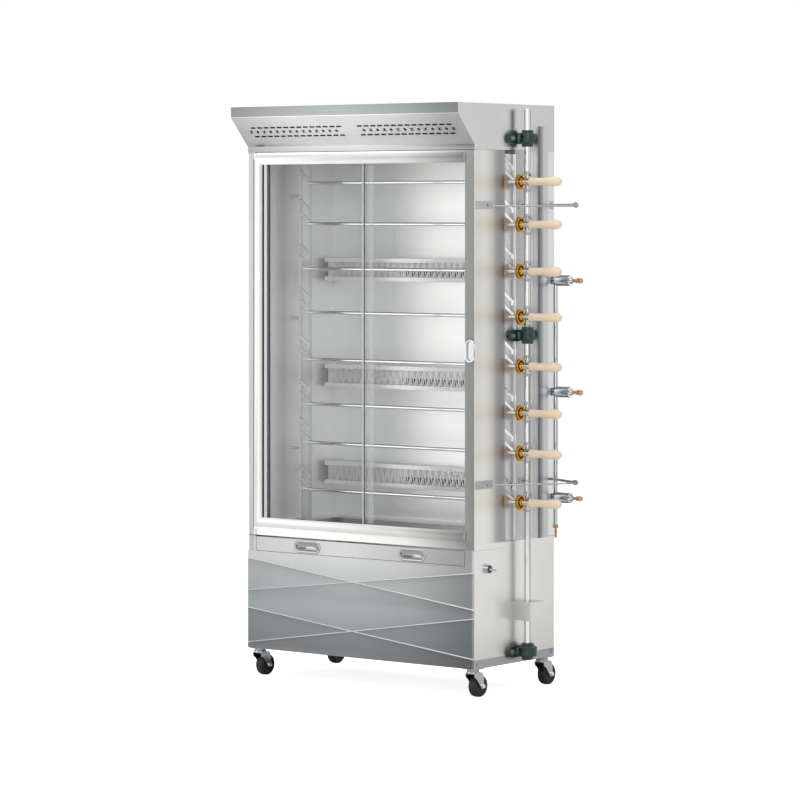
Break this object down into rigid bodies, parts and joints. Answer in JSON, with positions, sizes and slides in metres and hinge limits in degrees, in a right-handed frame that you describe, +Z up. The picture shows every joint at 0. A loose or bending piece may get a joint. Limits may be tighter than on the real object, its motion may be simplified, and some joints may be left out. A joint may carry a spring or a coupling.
{
  "type": "vertical rotisserie",
  "caption": "Tall gas rotisserie cabinet on casters, with glazed front, vented hood, worm-driven spits with wooden handles and a drip drawer.",
  "frame": {"origin": "on the floor, under the middle of the whole machine with its handles", "axes": "+Z up, -Y towards the glazed front, +X towards the spit handles"},
  "size_m": [1.205, 0.5935, 2.015],
  "materials": {
    "frame_steel": "satin",
    "skin_steel": "satin",
    "base_steel": "satin, cool grey",
    "hood_steel": "satin",
    "liner_steel": "bright",
    "door_steel": "satin, pale",
    "track": "matt black",
    "glass": "clear tempered",
    "chrome": "polished",
    "drawer_steel": "satin",
    "rail_steel": "satin",
    "burner_steel": "satin",
    "gas_chrome": "polished",
    "valve_brass": "satin",
    "gear_brass": "polished",
    "shaft_steel": "ground",
    "worm_steel": "dark",
    "bearing_iron": "dark green enamel",
    "motor_paint": "grey enamel",
    "wood": "plain turned, pale",
    "tyre_black": "black"
  },
  "bodies": {
    "cabinet": {"cabinet_frame": "frame_steel", "base_panel": "base_steel", "side_panel_left": "skin_steel", "side_panel_right": "skin_steel", "back_panel": "skin_steel", "hood": "hood_steel", "chamber_liner": "liner_steel", "spit_rail_left": "rail_steel", "spit_rail_right": "rail_steel", "burners": "burner_steel", "gas_line": "gas_chrome", "pillow_blocks": "bearing_iron", "drive_cover": "skin_steel", "gear_motor": "motor_paint", "guard_arms": "frame_steel"},
    "door": {"door_frame": "door_steel", "glass_tracks": "track", "door_pull": "chrome"},
    "left_pane": {"glass_pane_left": "glass"},
    "right_pane": {"glass_pane_right": "glass"},
    "drawer": {"drip_drawer": "drawer_steel", "drawer_pulls": "chrome"},
    "shaft": {"drive_shaft": "shaft_steel", "worms": "worm_steel"},
    "switch": {"switch_knob": "chrome"},
    "spit_1": {"spit_rod_1": "shaft_steel", "spit_gear_1": "gear_brass", "spit_handle_1": "wood"},
    "spit_2": {"spit_rod_2": "shaft_steel", "spit_gear_2": "gear_brass", "spit_handle_2": "wood"},
    "spit_3": {"spit_rod_3": "shaft_steel", "spit_gear_3": "gear_brass", "spit_handle_3": "wood"},
    "spit_4": {"spit_rod_4": "shaft_steel", "spit_gear_4": "gear_brass", "spit_handle_4": "wood"},
    "spit_5": {"spit_rod_5": "shaft_steel", "spit_gear_5": "gear_brass", "spit_handle_5": "wood"},
    "spit_6": {"spit_rod_6": "shaft_steel", "spit_gear_6": "gear_brass", "spit_handle_6": "wood"},
    "spit_7": {"spit_rod_7": "shaft_steel", "spit_gear_7": "gear_brass", "spit_handle_7": "wood"},
    "spit_8": {"spit_rod_8": "shaft_steel", "spit_gear_8": "gear_brass", "spit_handle_8": "wood"},
    "valve_1": {"valve_knob_1": "valve_brass"},
    "valve_2": {"valve_knob_2": "valve_brass"},
    "valve_3": {"valve_knob_3": "valve_brass"},
    "fork_front_right": {"caster_fork_front_right": "chrome"},
    "wheel_front_right": {"caster_wheel_front_right": "tyre_black"},
    "fork_rear_right": {"caster_fork_rear_right": "chrome"},
    "wheel_rear_right": {"caster_wheel_rear_right": "tyre_black"},
    "fork_front_left": {"caster_fork_front_left": "chrome"},
    "wheel_front_left": {"caster_wheel_front_left": "tyre_black"},
    "fork_rear_left": {"caster_fork_rear_left": "chrome"},
    "wheel_rear_left": {"caster_wheel_rear_left": "tyre_black"}
  },
  "joints": [
    {"name": "door_swing", "type": "hinge", "parent": "cabinet", "child": "door", "pos_m": [-0.5685, -0.20575, 1.175], "axis": [0, 0, -1], "range_deg": [0, 105]},
    {"name": "left_pane_slide", "type": "slide", "parent": "door", "child": "left_pane", "axis": [1, 0, 0], "range_m": [0, 0.4]},
    {"name": "right_pane_slide", "type": "slide", "parent": "door", "child": "right_pane", "axis": [-1, 0, 0], "range_m": [0, 0.43]},
    {"name": "drawer_slide", "type": "slide", "parent": "cabinet", "child": "drawer", "axis": [0, -1, 0], "range_m": [0, 0.34]},
    {"name": "shaft_turn", "type": "hinge", "parent": "cabinet", "child": "shaft", "pos_m": [0.4315, 0.05575, 1.22244], "axis": [0, 0, 1], "continuous": true},
    {"name": "spit_1_turn", "type": "hinge", "parent": "cabinet", "child": "spit_1", "pos_m": [0.3975, 0.01425, 1.749], "axis": [1, 0, 0], "continuous": true},
    {"name": "spit_2_turn", "type": "hinge", "parent": "cabinet", "child": "spit_2", "pos_m": [0.3975, 0.01425, 1.60294], "axis": [1, 0, 0], "continuous": true},
    {"name": "spit_3_turn", "type": "hinge", "parent": "cabinet", "child": "spit_3", "pos_m": [0.3975, 0.01425, 1.44302], "axis": [1, 0, 0], "continuous": true},
    {"name": "spit_4_turn", "type": "hinge", "parent": "cabinet", "child": "spit_4", "pos_m": [0.3975, 0.01425, 1.28698], "axis": [1, 0, 0], "continuous": true},
    {"name": "spit_5_turn", "type": "hinge", "parent": "cabinet", "child": "spit_5", "pos_m": [0.3975, 0.01425, 1.1185], "axis": [1, 0, 0], "continuous": true},
    {"name": "spit_6_turn", "type": "hinge", "parent": "cabinet", "child": "spit_6", "pos_m": [0.3975, 0.01425, 0.95896], "axis": [1, 0, 0], "continuous": true},
    {"name": "spit_7_turn", "type": "hinge", "parent": "cabinet", "child": "spit_7", "pos_m": [0.3975, 0.01425, 0.82094], "axis": [1, 0, 0], "continuous": true},
    {"name": "spit_8_turn", "type": "hinge", "parent": "cabinet", "child": "spit_8", "pos_m": [0.3975, 0.01425, 0.65298], "axis": [1, 0, 0], "continuous": true},
    {"name": "valve_1_turn", "type": "hinge", "parent": "cabinet", "child": "valve_1", "pos_m": [0.5195, 0.22925, 1.408], "axis": [1, 0, 0], "range_deg": [0, 90]},
    {"name": "valve_2_turn", "type": "hinge", "parent": "cabinet", "child": "valve_2", "pos_m": [0.5195, 0.22925, 1.02199], "axis": [1, 0, 0], "range_deg": [0, 90]},
    {"name": "valve_3_turn", "type": "hinge", "parent": "cabinet", "child": "valve_3", "pos_m": [0.5195, 0.22925, 0.65604], "axis": [1, 0, 0], "range_deg": [0, 90]},
    {"name": "switch_turn", "type": "hinge", "parent": "cabinet", "child": "switch", "pos_m": [0.3975, -0.13225, 0.4345], "axis": [1, 0, 0], "range_deg": [0, 90]},
    {"name": "swivel_front_right", "type": "hinge", "parent": "cabinet", "child": "fork_front_right", "pos_m": [0.3675, -0.17175, 0.084], "axis": [0, 0, 1], "continuous": true},
    {"name": "roll_front_right", "type": "hinge", "parent": "fork_front_right", "child": "wheel_front_right", "pos_m": [0.3675, -0.14375, 0.0375], "axis": [1, 0, 0], "continuous": true},
    {"name": "swivel_rear_right", "type": "hinge", "parent": "cabinet", "child": "fork_rear_right", "pos_m": [0.3675, 0.23125, 0.084], "axis": [0, 0, 1], "continuous": true},
    {"name": "roll_rear_right", "type": "hinge", "parent": "fork_rear_right", "child": "wheel_rear_right", "pos_m": [0.3675, 0.25925, 0.0375], "axis": [1, 0, 0], "continuous": true},
    {"name": "swivel_front_left", "type": "hinge", "parent": "cabinet", "child": "fork_front_left", "pos_m": [-0.5725, -0.17175, 0.084], "axis": [0, 0, 1], "continuous": true},
    {"name": "roll_front_left", "type": "hinge", "parent": "fork_front_left", "child": "wheel_front_left", "pos_m": [-0.5725, -0.14375, 0.0375], "axis": [1, 0, 0], "continuous": true},
    {"name": "swivel_rear_left", "type": "hinge", "parent": "cabinet", "child": "fork_rear_left", "pos_m": [-0.5725, 0.23125, 0.084], "axis": [0, 0, 1], "continuous": true},
    {"name": "roll_rear_left", "type": "hinge", "parent": "fork_rear_left", "child": "wheel_rear_left", "pos_m": [-0.5725, 0.25925, 0.0375], "axis": [1, 0, 0], "continuous": true}
  ],
  "couplings": [
    {"joint": "spit_1_turn", "follows": "shaft_turn", "ratio": -0.029412},
    {"joint": "spit_2_turn", "follows": "shaft_turn", "ratio": -0.029412},
    {"joint": "spit_3_turn", "follows": "shaft_turn", "ratio": -0.029412},
    {"joint": "spit_4_turn", "follows": "shaft_turn", "ratio": -0.029412},
    {"joint": "spit_5_turn", "follows": "shaft_turn", "ratio": -0.029412},
    {"joint": "spit_6_turn", "follows": "shaft_turn", "ratio": -0.029412},
    {"joint": "spit_7_turn", "follows": "shaft_turn", "ratio": -0.029412},
    {"joint": "spit_8_turn", "follows": "shaft_turn", "ratio": -0.029412}
  ]
}
